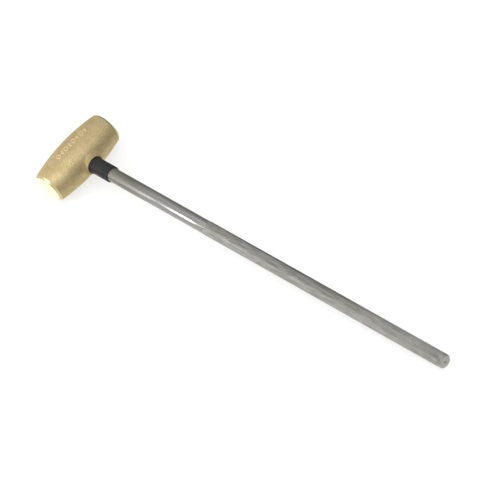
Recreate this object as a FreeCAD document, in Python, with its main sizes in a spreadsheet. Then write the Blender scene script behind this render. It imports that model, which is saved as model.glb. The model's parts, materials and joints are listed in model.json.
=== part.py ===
"""Long-handled soft-face hammer: a barrel-shaped brass head on a knurled aluminium bar.

The hammer lies at rest on a flat surface at z = 0: the head's crown and the far end of the grip
touch it. The bar runs along +X and dips by the lie angle, the head's striking axis is Y, and the
origin is under the middle of the whole hammer. Each piece is modelled about the head's centre,
with the bar's axis along X and the striking axis along Y, and is then laid down by its Placement.
"""
import FreeCAD, Part

import Sketcher
import os
import re

SHEET = "Dimensions"

DIMENSIONS = {
    # The head's casting, in millimetres
    "head_length": 139.7,       # from one striking face to the other
    "crown_radius": 34.0,       # at the middle of the barrel
    "edge_radius": 27.35,       # where the machined bevels start
    "face_bevel": 3.6,          # along the axis and across it alike
    "eye_offset": 4.0,          # of the bar's axis from the middle of the head, towards +Y
    "boss_rise": 3.6,           # of the boss's seat above the crown
    "seat_margin": 0.75,        # of the boss's flat seat outside the collar's foot
    "boss_sink": 0.3,           # depth under the crown at which the boss's flank ends
    # Raised cast marks on the upper side: rings and lozenges in a row, and one small ring
    "mark_rise": 0.7,
    "mark_pairs": 4,
    "mark_pitch": 17.2,         # from one pair to the next
    "ring_radius": 4.4,
    "ring_hole_radius": 2.4,
    "lozenge_height": 9.0,      # across the head
    "lozenge_width": 6.0,       # along the head
    "side_mark_radius": 3.2,
    "side_mark_hole_radius": 1.5,
    "side_mark_angle": 34.0,    # degrees from the row, towards the bar
    "side_mark_place": -20.0,   # along the striking axis, from the middle
    # The bar
    "bar_radius": 11.1,
    "knurl_rise": 0.25,         # of the knurl's crests above the bar
    "exposed_length": 739.4,    # from the collar to the end of the bar
    "neck_length": 219.3,       # smooth bar between the collar and the grip
    "plain_end": 6.0,           # smooth bar past the grip
    "grip_bevel": 0.5,
    "end_chamfer": 1.6,
    "centre_hole_radius": 2.5,  # lathe centre in the free end
    "shoulder": 1.6,            # width of the bar's seat on the boss, outside the spigot
    "spigot_length": 54.0,
    "spigot_chamfer": 1.2,
    "eye_clearance": 0.05,      # radial, between spigot and eye
    "eye_bottom_gap": 2.0,
    "eye_chamfer": 0.8,
    "drill_point_angle": 59.0,  # degrees, half the angle of the eye's conical bottom
    # The rubber collar
    "collar_length": 40.4,
    "collar_wall": 2.1,
    "collar_gap": 0.02,         # radial, between collar and bar
    "foot_lip": 1.45,           # of the foot flange beyond the sleeve
    "foot_thickness": 1.2,
    "lip_radius": 0.6,
    "rib_grooves": 4,
    "rib_pitch": 3.0,
    "groove_width": 1.2,        # at the collar's surface
    "groove_floor": 0.6,        # width at the bottom
    "groove_depth": 0.6,
    "first_groove_place": 3.4,  # middle of the groove nearest the collar's free end, from that end
    # The slotted spring pin
    "pin_radius": 3.0,
    "pin_wall": 1.1,
    "pin_slot": 1.4,
    "pin_length": 46.0,
    "pin_chamfer": 0.5,
    "pin_place": 8.0,           # along the bar's axis, from the middle of the head
    "pin_inset": 2.0,           # of the pin's lower end from the crown
    "pin_end_gap": 1.0,
    "pin_fit": 0.01,            # radial, between pin and hole
}

# Radii that follow from one another, from the spigot out to the boss
SPIGOT_RADIUS = "(bar_radius - shoulder)"
EYE_RADIUS = f"({SPIGOT_RADIUS} + eye_clearance)"
GRIP_RADIUS = "(bar_radius + knurl_rise)"
COLLAR_RADIUS = "(bar_radius + collar_wall)"
FOOT_RADIUS = f"({COLLAR_RADIUS} + foot_lip)"
BOSS_RADIUS = f"({FOOT_RADIUS} + seat_margin)"

# Places worked out from the sheet: distances from the head's centre along the bar
SEAT = "(crown_radius + boss_rise)"
SPIGOT_END = f"({SEAT} - spigot_length)"
EYE_BOTTOM = f"({SPIGOT_END} - eye_bottom_gap)"
COLLAR_END = f"({SEAT} + collar_length)"
GRIP_START = f"({COLLAR_END} + neck_length)"
BAR_END = f"({COLLAR_END} + exposed_length)"
GRIP_END = f"({BAR_END} - plain_end)"

# The barrel's outline: half its length up to the bevels, and the radius of its crown's arc
HALF_LENGTH = "(head_length / 2)"
HALF_BARREL = f"({HALF_LENGTH} - face_bevel)"
CROWN_SAG = "(crown_radius - edge_radius)"
CROWN_ARC = f"(({HALF_BARREL}^2 + {CROWN_SAG}^2) / (2 * {CROWN_SAG}))"

# The boss's flank is an arc from the edge of its seat that dips just under the crown
FLANK_DEPTH = "(crown_radius - boss_sink)"
FLANK_ARC = f"(({SEAT}^2 + {BOSS_RADIUS}^2 - {FLANK_DEPTH}^2) / (2 * ({FLANK_DEPTH} - {BOSS_RADIUS})))"

# The pin's ends, as heights over the bar's axis
PIN_BOTTOM = "(pin_inset - crown_radius)"
PIN_TOP = f"({PIN_BOTTOM} + pin_length)"

# How the hammer lies
CREST_END = f"({GRIP_END} - grip_bevel)"
LIE_ANGLE = (f"(asin(crown_radius / sqrt({CREST_END}^2 + {GRIP_RADIUS}^2))"
             f" - atan({GRIP_RADIUS} / {CREST_END}))")
FAR_REACH = f"({BAR_END} * cos({LIE_ANGLE}) + (bar_radius - end_chamfer) * sin({LIE_ANGLE}))"
REST_X = f"((crown_radius - {FAR_REACH}) / 2)"


def bind(text):
    """Spell out every alias in an expression as a cell of the sheet."""
    def spell(match):
        word = match.group()
        return f"{SHEET}.{word}" if word in DIMENSIONS else word
    return re.sub(r"[a-z_]+", spell, text)


def make_sheet(doc):
    """Put each driving dimension in a cell of its own, with its name as the alias."""
    sheet = doc.addObject("Spreadsheet::Sheet", SHEET)
    for row, (alias, number) in enumerate(DIMENSIONS.items(), start=1):
        sheet.set(f"A{row}", alias.replace("_", " "))
        sheet.set(f"B{row}", str(number))
        sheet.setAlias(f"B{row}", alias)
    doc.recompute()
    return sheet


def value(sheet, text):
    """Work out an expression now, for geometry that is drawn before it is constrained."""
    return float(sheet.evalExpression(bind(text)))


def point(sheet, corner):
    """The place that a pair of expressions stands for."""
    return FreeCAD.Vector(value(sheet, corner[0]), value(sheet, corner[1]), 0)


def add_body(doc, name, across="0"):
    """Start a piece and lay it down with the others; across shifts it along the head."""
    body = doc.addObject("PartDesign::Body", name)
    body.Label = name
    body.Placement = FreeCAD.Placement(FreeCAD.Vector(), FreeCAD.Rotation(FreeCAD.Vector(0, 1, 0), 1))
    body.setExpression(".Placement.Rotation.Angle", bind(LIE_ANGLE))
    body.setExpression(".Placement.Base.x", bind(REST_X))
    body.setExpression(".Placement.Base.y", bind(across))
    body.setExpression(".Placement.Base.z", bind("crown_radius"))
    return body


def add_sketch(body, name, plane="XY_Plane", **offsets):
    """Attach a sketch to one of the body's own origin planes, shifted by named offsets."""
    sketch = body.newObject("Sketcher::SketchObject", name)
    planes = [item for item in body.Origin.OriginFeatures if item.Role == plane]
    sketch.AttachmentSupport = [(planes[0], "")]
    sketch.MapMode = "FlatFace"
    for direction, text in offsets.items():
        sketch.setExpression(f".AttachmentOffset.Base.{direction}", bind(text))
    return sketch


def fix(sketch, kind, target, text, label):
    """Add one dimension to a sketch and bind it to the sheet."""
    number = value(sketch.Document.getObject(SHEET), text)
    index = sketch.addConstraint(Sketcher.Constraint(kind, *target, number))
    sketch.renameConstraint(index, label)
    sketch.setExpression(f"Constraints.{label}", bind(text))


def fix_point(sketch, geometry, position, corner, label):
    """Place one point of a sketch by two dimensions from the sketch's origin."""
    fix(sketch, "DistanceX", (-1, 1, geometry, position), corner[0], f"{label}_x")
    fix(sketch, "DistanceY", (-1, 1, geometry, position), corner[1], f"{label}_y")


def add_edge(sketch, start, end, middle):
    """Draw a line, or an arc through middle; return its index and its two end positions."""
    if middle is None:
        return sketch.addGeometry(Part.LineSegment(start, end), False), 1, 2
    turn = (middle - start).cross(end - middle).z
    if turn > 0:
        return sketch.addGeometry(Part.Arc(start, middle, end), False), 1, 2
    return sketch.addGeometry(Part.Arc(end, middle, start), False), 2, 1


def add_loop(sketch, label, corners, arcs=None):
    """Draw a closed loop through corners, each a pair of expressions.

    arcs names the edges that are arcs, by the corner that they start from, and gives for each
    a point that it passes near and its radius.
    """
    arcs = arcs or {}
    sheet = sketch.Document.getObject(SHEET)
    points = [point(sheet, corner) for corner in corners]
    edges = []
    for index, start in enumerate(points):
        middle = point(sheet, arcs[index][0]) if index in arcs else None
        edges.append(add_edge(sketch, start, points[(index + 1) % len(points)], middle))
    for index, (geometry, first, last) in enumerate(edges):
        following, next_first, _ = edges[(index + 1) % len(edges)]
        sketch.addConstraint(Sketcher.Constraint("Coincident", geometry, last, following, next_first))
        fix_point(sketch, geometry, first, corners[index], f"{label}_{index}")
        if index in arcs:
            fix(sketch, "Radius", (geometry,), arcs[index][1], f"{label}_{index}_radius")


def add_circle(sketch, label, centre, radius):
    """Draw a circle about a centre given as a pair of expressions."""
    sheet = sketch.Document.getObject(SHEET)
    circle = Part.Circle(point(sheet, centre), FreeCAD.Vector(0, 0, 1), value(sheet, radius))
    geometry = sketch.addGeometry(circle, False)
    fix_point(sketch, geometry, 3, centre, label)
    fix(sketch, "Radius", (geometry,), radius, f"{label}_radius")


def turn_profile(body, kind, name, sketch, axis):
    """Revolve or groove a profile all the way round one of its sketch's axes."""
    feature = body.newObject(f"PartDesign::{kind}", name)
    feature.Profile = (sketch, [""])
    feature.ReferenceAxis = (sketch, [axis])
    feature.Angle = 360
    sketch.Visibility = False
    return feature


def extrude(body, kind, name, sketch, length=None, reverse=False):
    """Pad or pocket a sketch along its normal, by a length or right through."""
    feature = body.newObject(f"PartDesign::{kind}", name)
    feature.Profile = (sketch, [""])
    feature.Reversed = reverse
    if length is None:
        feature.Type = "ThroughAll"
    else:
        feature.setExpression("Length", bind(length))
    sketch.Visibility = False
    return feature


def repeat(body, name, original, axis, spacing, count):
    """Repeat a feature in a line along one of its sketch's axes."""
    pattern = body.newObject("PartDesign::LinearPattern", name)
    pattern.Originals = [original]
    pattern.Direction = axis
    pattern.setExpression("Length", bind(f"{spacing} * ({count} - 1)"))
    pattern.setExpression("Occurrences", bind(count))
    body.Tip = pattern
    return pattern


def expect_change(body, before, sign, what):
    """Stop if a feature added or removed nothing; return the body's new volume."""
    body.Document.recompute()
    after = body.Shape.Volume
    if (after - before) * sign <= 0:
        raise RuntimeError(f"{body.Label}: {what} changed nothing")
    return after


def add_barrel(body):
    """The crowned barrel with its flat faces and machined bevels, turned about the Y axis."""
    sketch = add_sketch(body, "barrel_profile")
    flat = "(edge_radius - face_bevel)"
    corners = [("0", f"-{HALF_LENGTH}"), (flat, f"-{HALF_LENGTH}"), ("edge_radius", f"-{HALF_BARREL}"),
               ("edge_radius", HALF_BARREL), (flat, HALF_LENGTH), ("0", HALF_LENGTH)]
    add_loop(sketch, "barrel", corners, {2: (("crown_radius", "0"), CROWN_ARC)})
    turn_profile(body, "Revolution", "barrel", sketch, "V_Axis")


def add_marks(body):
    """Raised marks: a row of rings and lozenges over the eye, and one small ring beside it."""
    height = "(crown_radius + 2 * mark_rise)"
    row_start = "(eye_offset - mark_pitch * (mark_pairs - 1) / 2)"
    sketch = add_sketch(body, "mark_outline", y=row_start)
    ring_centre = ("0", "-mark_pitch / 4")
    add_circle(sketch, "ring", ring_centre, "ring_radius")
    add_circle(sketch, "ring_hole", ring_centre, "ring_hole_radius")
    middle = "mark_pitch / 4"
    add_loop(sketch, "lozenge", [("-lozenge_height / 2", middle), ("0", f"{middle} - lozenge_width / 2"),
                                 ("lozenge_height / 2", middle), ("0", f"{middle} + lozenge_width / 2")])
    pair = extrude(body, "Pad", "mark_pair", sketch, height)
    repeat(body, "mark_row", pair, (sketch, ["V_Axis"]), "mark_pitch", "mark_pairs")

    side = add_sketch(body, "side_mark_outline", y="side_mark_place")
    side.AttachmentOffset = FreeCAD.Placement(FreeCAD.Vector(), FreeCAD.Rotation(FreeCAD.Vector(0, 1, 0), 1))
    side.setExpression(".AttachmentOffset.Rotation.Angle", bind("side_mark_angle"))
    add_circle(side, "ring", ("0", "0"), "side_mark_radius")
    add_circle(side, "ring_hole", ("0", "0"), "side_mark_hole_radius")
    extrude(body, "Pad", "side_mark", side, height)


def trim_marks(body):
    """Cut the marks back to an even height over the barrel."""
    sketch = add_sketch(body, "mark_trim_profile")
    inner = "(edge_radius + mark_rise)"
    outer = "(crown_radius + 4 * mark_rise)"
    corners = [(inner, f"-{HALF_BARREL}"), (outer, f"-{HALF_BARREL}"), (outer, HALF_BARREL),
               (inner, HALF_BARREL)]
    add_loop(sketch, "trim", corners, {3: (("(crown_radius + mark_rise)", "0"), CROWN_ARC)})
    turn_profile(body, "Groove", "mark_trim", sketch, "V_Axis")


def add_boss(body):
    """The low boss round the eye: a flat seat with a hollow flank that runs into the barrel."""
    sketch = add_sketch(body, "boss_profile", y="eye_offset")
    centre_reach = f"({BOSS_RADIUS} + {FLANK_ARC})"
    share = f"({FLANK_DEPTH} / ({FLANK_DEPTH} + {FLANK_ARC}))"
    flank_end = (f"({SEAT} * {share})", f"({centre_reach} * {share})")
    flank_middle = (f"({SEAT} - {FLANK_ARC} * sin(20deg))", f"({centre_reach} - {FLANK_ARC} * cos(20deg))")
    corners = [("0", "0"), (SEAT, "0"), (SEAT, BOSS_RADIUS), flank_end]
    add_loop(sketch, "boss", corners, {2: (flank_middle, FLANK_ARC)})
    turn_profile(body, "Revolution", "boss", sketch, "H_Axis")


def cut_eye(body):
    """The blind eye for the bar's spigot, with a drill-point bottom and a chamfered mouth."""
    sketch = add_sketch(body, "eye_profile", y="eye_offset")
    tip = f"({EYE_BOTTOM} - {EYE_RADIUS} / tan(drill_point_angle * 1deg))"
    mouth = f"({EYE_RADIUS} + eye_chamfer)"
    corners = [(tip, "0"), (SEAT, "0"), (SEAT, mouth), (f"({SEAT} - eye_chamfer)", EYE_RADIUS),
               (EYE_BOTTOM, EYE_RADIUS)]
    add_loop(sketch, "eye", corners)
    turn_profile(body, "Groove", "eye", sketch, "H_Axis")


def cut_pin_hole(body, across, depth_plane):
    """The cross hole for the spring pin, cut downwards from the plane that it ends in."""
    sketch = add_sketch(body, "pin_hole_outline", y=across, z=depth_plane)
    add_circle(sketch, "hole", ("pin_place", "0"), "(pin_radius + pin_fit)")
    extrude(body, "Pocket", "pin_hole", sketch)


def make_head(doc):
    """Brass casting: barrel, raised marks, eye boss, machined faces, eye and pin hole."""
    body = add_body(doc, "head")
    add_barrel(body)
    volume = expect_change(body, 0, 1, "the barrel")
    add_marks(body)
    volume = expect_change(body, volume, 1, "the marks")
    trim_marks(body)
    volume = expect_change(body, volume, -1, "the trim")
    add_boss(body)
    volume = expect_change(body, volume, 1, "the boss")
    cut_eye(body)
    volume = expect_change(body, volume, -1, "the eye")
    cut_pin_hole(body, "eye_offset", f"({PIN_TOP} + pin_end_gap)")
    expect_change(body, volume, -1, "the pin hole")
    return body


def make_handle_bar(doc):
    """Aluminium bar: spigot, shoulder, smooth neck, grip, chamfered end with a lathe centre."""
    body = add_body(doc, "handle_bar", "eye_offset")
    sketch = add_sketch(body, "bar_profile")
    spigot_edge = f"({SPIGOT_RADIUS} - spigot_chamfer)"
    end_edge = "(bar_radius - end_chamfer)"
    corners = [
        (SPIGOT_END, "0"), (f"({BAR_END} - centre_hole_radius)", "0"), (BAR_END, "centre_hole_radius"),
        (BAR_END, end_edge), (f"({BAR_END} - end_chamfer)", "bar_radius"), (GRIP_END, "bar_radius"),
        (CREST_END, GRIP_RADIUS), (f"({GRIP_START} + grip_bevel)", GRIP_RADIUS),
        (GRIP_START, "bar_radius"), (SEAT, "bar_radius"), (SEAT, SPIGOT_RADIUS),
        (f"({SPIGOT_END} + spigot_chamfer)", SPIGOT_RADIUS), (SPIGOT_END, spigot_edge),
    ]
    add_loop(sketch, "bar", corners)
    turn_profile(body, "Revolution", "bar", sketch, "H_Axis")
    volume = expect_change(body, 0, 1, "the bar")
    cut_pin_hole(body, "0", "bar_radius")
    expect_change(body, volume, -1, "the pin hole")
    return body


def make_neck_collar(doc):
    """Rubber sleeve on the boss's seat: thin foot flange, smooth half, grooved half, round lip."""
    body = add_body(doc, "neck_collar", "eye_offset")
    sketch = add_sketch(body, "collar_profile")
    inner = "(bar_radius + collar_gap)"
    foot = f"({SEAT} + foot_thickness)"
    lip_start = f"({COLLAR_END} - lip_radius)"
    lip_base = f"({COLLAR_RADIUS} - lip_radius)"
    lip_middle = (f"({lip_start} + lip_radius * sin(45deg))", f"({lip_base} + lip_radius * cos(45deg))")
    corners = [(SEAT, inner), (COLLAR_END, inner), (COLLAR_END, lip_base), (lip_start, COLLAR_RADIUS),
               (foot, COLLAR_RADIUS), (foot, FOOT_RADIUS), (SEAT, FOOT_RADIUS)]
    add_loop(sketch, "collar", corners, {2: (lip_middle, "lip_radius")})
    turn_profile(body, "Revolution", "sleeve", sketch, "H_Axis")
    volume = expect_change(body, 0, 1, "the sleeve")

    groove_sketch = add_sketch(body, "groove_profile", x=f"({COLLAR_END} - first_groove_place)")
    bottom = f"({COLLAR_RADIUS} - groove_depth)"
    add_loop(groove_sketch, "groove", [("-groove_width / 2", COLLAR_RADIUS), ("-groove_floor / 2", bottom),
                                       ("groove_floor / 2", bottom), ("groove_width / 2", COLLAR_RADIUS)])
    groove = turn_profile(body, "Groove", "rib_groove", groove_sketch, "H_Axis")
    volume = expect_change(body, volume, -1, "the groove")
    row = repeat(body, "rib_grooves", groove, (groove_sketch, ["H_Axis"]), "rib_pitch", "rib_grooves")
    row.Reversed = True
    expect_change(body, volume, -1, "the row of grooves")
    return body


def make_lock_pin(doc):
    """Slotted spring pin across the head and the spigot, pressed in from the underside."""
    body = add_body(doc, "lock_pin", "eye_offset")
    sketch = add_sketch(body, "pin_outline", z=PIN_BOTTOM)
    centre = ("pin_place", "0")
    add_circle(sketch, "pin", centre, "pin_radius")
    add_circle(sketch, "pin_bore", centre, "(pin_radius - pin_wall)")
    extrude(body, "Pad", "pin", sketch, "pin_length")
    volume = expect_change(body, 0, 1, "the pin")

    ends = body.newObject("PartDesign::Chamfer", "pin_ends")
    rims = [f"Edge{index}" for index, edge in enumerate(body.Shape.Edges, start=1)
            if edge.isClosed() and abs(edge.Curve.Radius - DIMENSIONS["pin_radius"]) < 0.001]
    ends.Base = (body.getObject("pin"), rims)
    ends.setExpression("Size", bind("pin_chamfer"))
    volume = expect_change(body, volume, -1, "the chamfer")

    slot = add_sketch(body, "slot_outline", z=PIN_BOTTOM)
    reach = "(pin_place + 2 * pin_radius)"
    add_loop(slot, "slot", [("pin_place", "-pin_slot / 2"), (reach, "-pin_slot / 2"),
                            (reach, "pin_slot / 2"), ("pin_place", "pin_slot / 2")])
    extrude(body, "Pocket", "slot", slot, None, True)
    expect_change(body, volume, -1, "the slot")
    return body


def check(doc, bodies):
    """Stop unless every object recomputed cleanly and every piece is one valid solid."""
    for item in doc.Objects:
        if "Invalid" in item.State or "Error" in item.State:
            raise RuntimeError(f"{item.Label} failed: {item.State}")
    for body in bodies:
        shape = body.Shape
        if shape.isNull() or not shape.isValid() or len(shape.Solids) != 1:
            raise RuntimeError(f"{body.Label} is not one valid solid")
        print(f"{body.Label}: {shape.Volume / 1000:.2f} cm3")


def main():
    """Build the document, check it and write one STEP file for each piece."""
    doc = FreeCAD.newDocument("hammer")
    make_sheet(doc)
    bodies = [make_head(doc), make_handle_bar(doc), make_neck_collar(doc), make_lock_pin(doc)]
    doc.recompute()
    check(doc, bodies)
    os.makedirs("parts", exist_ok=True)
    for body in bodies:
        body.Shape.exportStep(f"parts/{body.Label}.step")


main()
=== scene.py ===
"""Long-handled brass hammer: its looks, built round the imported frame.

Lengths are millimetres in the hammer's own axes while a piece is made: X runs along the bar, Y from one
striking face to the other, and Z up, with the head's centre at zero. The finished mesh is then laid down
where the frame has it, in metres.
"""

import json
import math
from functools import partial

import bmesh
import bpy
import numpy as np
from mathutils import Matrix, Vector


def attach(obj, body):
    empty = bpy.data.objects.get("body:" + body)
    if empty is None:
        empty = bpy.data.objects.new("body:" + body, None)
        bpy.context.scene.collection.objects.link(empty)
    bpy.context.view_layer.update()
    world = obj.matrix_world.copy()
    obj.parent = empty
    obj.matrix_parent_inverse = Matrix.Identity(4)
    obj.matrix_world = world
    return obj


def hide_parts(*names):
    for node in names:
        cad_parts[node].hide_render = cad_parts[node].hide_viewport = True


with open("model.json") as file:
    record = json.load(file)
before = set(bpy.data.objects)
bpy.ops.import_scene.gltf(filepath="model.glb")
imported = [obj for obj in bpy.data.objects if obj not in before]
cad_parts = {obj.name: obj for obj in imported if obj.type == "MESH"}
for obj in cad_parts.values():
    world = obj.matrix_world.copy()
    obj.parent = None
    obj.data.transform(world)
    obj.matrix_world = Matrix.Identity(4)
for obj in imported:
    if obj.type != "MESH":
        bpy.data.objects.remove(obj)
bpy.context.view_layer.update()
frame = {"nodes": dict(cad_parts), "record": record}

bl_info = {
    "name": "Long-Handled Brass Hammer",
    "version": (1, 0, 0),
    "blender": (4, 5, 0),
    "location": "3D View > Sidebar > Hammer",
    "description": "Builds a cast brass hammer head on a knurled aluminium bar, round its packed frame",
    "category": "Add Mesh",
}

MM = 0.001                      # metres in a millimetre
FULL_TURN = 2 * math.pi
WELD = 0.0002                   # points closer than this, in millimetres, are one
MATH = "ShaderNodeMath"
VECTOR_MATH = "ShaderNodeVectorMath"
MAP_RANGE = "ShaderNodeMapRange"    # a value, the two ends of its range, and what they become
NOISE = "ShaderNodeTexNoise"
MIX = "ShaderNodeMix"
AXES = "ShaderNodeSeparateXYZ"
BUMP = "ShaderNodeBump"
SHADER = "ShaderNodeBsdfPrincipled"
OUTPUT = "ShaderNodeOutputMaterial"
COLOUR = {"data_type": "RGBA"}  # mixes colours
SOFT = {"interpolation_type": "SMOOTHSTEP"}     # eases a range in and out


# ---------------- where the frame has things

MOUNTS = {mount["name"]: mount for mount in frame["record"]["mounts"]}
FRONT_FACE = Vector(MOUNTS["striking_face_front"]["pos_m"])
BACK_FACE = Vector(MOUNTS["striking_face_back"]["pos_m"])
GRIP_MIDDLE = Vector(MOUNTS["grip"]["pos_m"])
HEAD_CENTRE = (FRONT_FACE + BACK_FACE) / 2
BAR_AXIS = Vector(MOUNTS["grip"]["axis"]).normalized()
HEAD_AXIS = (BACK_FACE - FRONT_FACE).normalized()


def laid_down():
    """The matrix that lays a piece down: millimetres about the head's centre to metres in the frame."""
    turn = Matrix((BAR_AXIS, HEAD_AXIS, BAR_AXIS.cross(HEAD_AXIS))).transposed().to_4x4()
    return Matrix.Translation(HEAD_CENTRE) @ turn @ Matrix.Scale(MM, 4)


LAID_DOWN = laid_down()
PICKED_UP = LAID_DOWN.inverted()


def cad_points(node):
    """A CAD node's vertices in the hammer's own axes, in millimetres."""
    mesh = frame["nodes"][node].data
    flat = np.empty(3 * len(mesh.vertices))
    mesh.vertices.foreach_get("co", flat)
    matrix = np.array(PICKED_UP)
    return flat.reshape(-1, 3) @ matrix[:3, :3].T + matrix[:3, 3]


BAR_POINTS = cad_points("handle_bar")
COLLAR_POINTS = cad_points("neck_collar")
EYE_OFFSET = (PICKED_UP @ GRIP_MIDDLE).y
SPIGOT_END = BAR_POINTS[:, 0].min()
BAR_END = BAR_POINTS[:, 0].max()
SEAT = COLLAR_POINTS[:, 0].min()
COLLAR_END = COLLAR_POINTS[:, 0].max()
FOOT_RADIUS = COLLAR_POINTS[:, 2].max()
GRIP_LENGTH = MOUNTS["grip"]["dims"]["length_mm"]
GRIP_RADIUS = MOUNTS["grip"]["dims"]["r_mm"]
GRIP_START = (PICKED_UP @ GRIP_MIDDLE).x - GRIP_LENGTH / 2
GRIP_END = GRIP_START + GRIP_LENGTH
HALF_LENGTH = (BACK_FACE - FRONT_FACE).length / MM / 2
CROWN_RADIUS = HEAD_CENTRE.z / MM

# Sizes of the head
EDGE_RADIUS = 27.35             # where the machined bevels start
FACE_BEVEL = 3.6
FACE_ROUND = 0.25               # of the edge between a bevel and its face
HALF_BARREL = HALF_LENGTH - FACE_BEVEL
CROWN_SAG = CROWN_RADIUS - EDGE_RADIUS
CROWN_ARC = (HALF_BARREL ** 2 + CROWN_SAG ** 2) / (2 * CROWN_SAG)
BOSS_RADIUS = FOOT_RADIUS + 0.75
BOSS_DEPTH = CROWN_RADIUS - 0.3     # distance from the head's centre at which the boss's flank ends
BOSS_CORNER = 0.35              # radius of the cast corner round the seat
EYE_CHAMFER = 0.8
EYE_GAP = 2.0                   # between the spigot's end and the eye's bottom
DRILL_POINT = math.radians(59)

# Sizes of the bar and the collar
BAR_RADIUS = 11.1
SPIGOT_RADIUS = BAR_RADIUS - 1.6
EYE_RADIUS = SPIGOT_RADIUS + 0.05
SPIGOT_CHAMFER = 1.2
END_CHAMFER = 1.6
CENTRE_HOLE = 2.5
GRIP_BEVEL = 0.5
SLEEVE_BORE = BAR_RADIUS + 0.02
SLEEVE_RADIUS = BAR_RADIUS + 2.1
FOOT_THICKNESS = 1.2

# How many sides turned shapes have
BOSS_SIDES, SLEEVE_SIDES, DRILL_SIDES, FLOOR_SIDES = 96, 144, 48, 96
SKIN_STEP = 0.48                # between the points of the cast skin, round the barrel

# The knurl and the sleeve's grooves
KNURL_TOP = 0.30                # the share of a diamond that its level top keeps
KNURL_LEAD = math.radians(30)   # between a groove and the bar
GROOVE_PITCH = 3.0
GROOVE_WIDTH = 1.7
LAST_GROOVE = COLLAR_END - 3.4
FIRST_GROOVE = LAST_GROOVE - 3 * GROOVE_PITCH

# The hole for the spring pin
PIN_PLACE = 8.0                 # along the bar, from the head's centre
PIN_HOLE = 3.01
PIN_HOLE_TOP = 15.0

# The row of raised marks, and the small ring beside it
MARK_PITCH = 17.2
MARK_PAIRS = 4
FIRST_RING = EYE_OFFSET - MARK_PITCH * (MARK_PAIRS - 1) / 2 - MARK_PITCH / 4
ROW_MARGIN = 5.2                # between the first ring's centre and the row's start


# ---------------- nodes

def linear(code):
    """The linear colour, with its alpha, for an sRGB hex value such as E7D091."""
    parts = [int(code[start:start + 2], 16) / 255 for start in (0, 2, 4)]
    return [part / 12.92 if part <= 0.04045 else ((part + 0.055) / 1.055) ** 2.4 for part in parts] + [1.0]


def add_node(tree, kind, inputs=(), operation=None, **settings):
    """Add a node with its settings; each input, by name or in the order of those in use, is linked or set."""
    node = tree.nodes.new(kind)
    if operation:
        node.operation = operation
    for name, setting in settings.items():
        setattr(node, name, setting)
    if isinstance(inputs, dict):
        pairs = [(node.inputs[name], source) for name, source in inputs.items()]
    else:
        pairs = list(zip([socket for socket in node.inputs if socket.enabled], inputs))
    for socket, source in pairs:
        if isinstance(source, bpy.types.Node):
            source = next(output for output in source.outputs if output.enabled)
        if isinstance(source, bpy.types.NodeSocket):
            tree.links.new(source, socket)
        else:
            socket.default_value = source
    return node


def start_shape_tree(name, lengths, others=None):
    """A node tree with a shape in and out and an input for each size: the tree, its adder and its inputs."""
    tree = bpy.data.node_groups.new(name, "GeometryNodeTree")
    tree.interface.new_socket("Shape", in_out="OUTPUT", socket_type="NodeSocketGeometry")
    sockets = {"Shape": "Geometry", **dict.fromkeys(lengths, "Float"), **(others or {}), "Finish": "Material"}
    for label, kind in sockets.items():
        tree.interface.new_socket(label, in_out="INPUT", socket_type=f"NodeSocket{kind}")
    add = partial(add_node, tree)
    return tree, add, add("NodeGroupInput").outputs


def end_shape_tree(add, shape, finish):
    """Close a shape tree: make instances real, give them their finish, and put the shape out."""
    real = add("GeometryNodeRealizeInstances", {"Geometry": shape})
    finished = add("GeometryNodeSetMaterial", {"Geometry": real, "Material": finish})
    add("NodeGroupOutput", {"Shape": finished})


def settle(piece):
    """Make what the modifiers give the piece's own plain mesh, and take them off."""
    graph = bpy.context.evaluated_depsgraph_get()
    graph.update()
    mesh = bpy.data.meshes.new_from_object(piece.evaluated_get(graph))
    piece.modifiers.clear()
    piece.data = mesh


def run_shape_tree(piece, tree, sizes):
    """Run a tree on a piece with its inputs set, and keep the result as a plain mesh."""
    modifier = piece.modifiers.new(tree.name, "NODES")
    modifier.node_group = tree
    for item in tree.interface.items_tree:
        if item.in_out == "INPUT" and item.name in sizes:
            modifier[item.identifier] = sizes[item.name]
    settle(piece)


# ---------------- meshes

def new_piece(name, points, faces):
    """Link a new mesh object made from points and faces."""
    mesh = bpy.data.meshes.new(name)
    mesh.from_pydata([tuple(point) for point in points], [], faces)
    mesh.validate()
    piece = bpy.data.objects.new(name, mesh)
    bpy.context.scene.collection.objects.link(piece)
    return piece


def discard(piece):
    """Remove a piece that was only needed to make another."""
    bpy.data.objects.remove(piece)


def skin(rings):
    """Points and faces of a skin over rings of points; a ring of one point is a pole."""
    points, faces, starts = [], [], []
    for ring in rings:
        starts.append(len(points))
        points.extend(ring)
    for first, second, ring, following in zip(starts, starts[1:], rings, rings[1:]):
        count = max(len(ring), len(following))
        for here in range(count):
            after = (here + 1) % count
            corners = [first + here % len(ring), second + here % len(following),
                       second + after % len(following), first + after % len(ring)]
            faces.append(tuple(dict.fromkeys(corners)))
    return points, faces


def circle(place, radius, angles):
    """A ring of points about the X axis at one place along it; no radius gives a pole."""
    if radius < 1e-6:
        return [(place, 0.0, 0.0)]
    return [(place, radius * math.sin(angle), radius * math.cos(angle)) for angle in angles]


def even_angles(count):
    """Angles that share a full turn evenly."""
    return [FULL_TURN * index / count for index in range(count)]


def turned(name, outline, count):
    """A closed piece turned about the X axis from its outline, pole to pole."""
    return new_piece(name, *skin([circle(place, radius, even_angles(count)) for place, radius in outline]))


def weld(piece):
    """Join the points of a piece that lie in the same place, and drop the faces that leaves empty."""
    work = bmesh.new()
    work.from_mesh(piece.data)
    bmesh.ops.remove_doubles(work, verts=work.verts, dist=WELD)
    bmesh.ops.dissolve_degenerate(work, edges=work.edges, dist=WELD)
    work.to_mesh(piece.data)
    work.free()


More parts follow.
